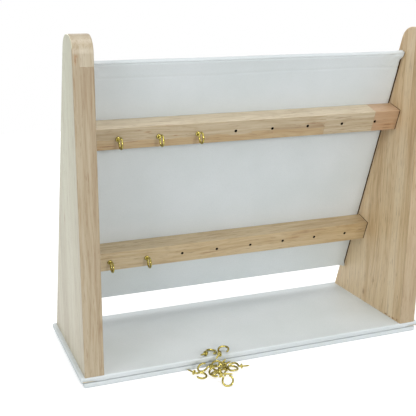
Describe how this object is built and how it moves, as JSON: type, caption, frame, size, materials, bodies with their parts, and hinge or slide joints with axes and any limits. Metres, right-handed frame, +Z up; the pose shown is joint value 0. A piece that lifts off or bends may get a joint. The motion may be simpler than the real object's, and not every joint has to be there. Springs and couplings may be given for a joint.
{
  "type": "jewellery display stand",
  "caption": "Tabletop wooden stand for necklaces: tapered uprights on a thin leatherette base, a leaning covered panel, and rails with brass cup hooks, with spare hooks heaped in front.",
  "frame": {"origin": "middle of the base's footprint, on the surface that it stands on", "axes": "+X to the right seen from the front, -Y out of the open front, +Z up"},
  "size_m": [0.36, 0.1706, 0.3083],
  "materials": {
    "wood": "satin, clear sealed pine",
    "core_board": "raw board",
    "leatherette": "soft sheen, fine grain",
    "brass": "bright polished",
    "steel": "plain zinc"
  },
  "bodies": {
    "stand": {"base_top_board": "core_board", "base_top_cover": "leatherette", "base_bottom_board": "core_board", "base_bottom_cover": "leatherette", "left_upright": "wood", "right_upright": "wood", "panel_board": "core_board", "panel_cover": "leatherette", "upper_rail": "wood", "lower_rail": "wood", "base_screws": "steel", "rail_dowels": "wood", "panel_screws": "steel"},
    "upper_hook_1": {"upper_hook_1": "brass"},
    "upper_hook_2": {"upper_hook_2": "brass"},
    "upper_hook_3": {"upper_hook_3": "brass"},
    "lower_hook_1": {"lower_hook_1": "brass"},
    "lower_hook_2": {"lower_hook_2": "brass"},
    "loose_hooks": {"loose_hook_01": "brass", "loose_hook_02": "brass", "loose_hook_03": "brass", "loose_hook_04": "brass", "loose_hook_05": "brass", "loose_hook_06": "brass", "loose_hook_07": "brass", "loose_hook_08": "brass", "loose_hook_09": "brass", "loose_hook_10": "brass", "loose_hook_11": "brass"}
  },
  "joints": [
    {"name": "upper_hook_1_turn", "type": "hinge", "parent": "stand", "child": "upper_hook_1", "pos_m": [-0.13125, -0.03289, 0.21802], "axis": [0, -0.9541, -0.2994], "range_deg": [-180, 180]},
    {"name": "upper_hook_2_turn", "type": "hinge", "parent": "stand", "child": "upper_hook_2", "pos_m": [-0.09375, -0.03289, 0.21802], "axis": [0, -0.9541, -0.2994], "range_deg": [-180, 180]},
    {"name": "upper_hook_3_turn", "type": "hinge", "parent": "stand", "child": "upper_hook_3", "pos_m": [-0.05625, -0.03289, 0.21802], "axis": [0, -0.9541, -0.2994], "range_deg": [-180, 180]},
    {"name": "lower_hook_1_turn", "type": "hinge", "parent": "stand", "child": "lower_hook_1", "pos_m": [-0.13125, 0.00696, 0.09102], "axis": [0, -0.9541, -0.2994], "range_deg": [-180, 180]},
    {"name": "lower_hook_2_turn", "type": "hinge", "parent": "stand", "child": "lower_hook_2", "pos_m": [-0.09375, 0.00696, 0.09102], "axis": [0, -0.9541, -0.2994], "range_deg": [-180, 180]},
    {"name": "loose_hooks_lift", "type": "slide", "parent": "stand", "child": "loose_hooks", "axis": [0, 0, 1], "range_m": [0, 0.05]}
  ]
}
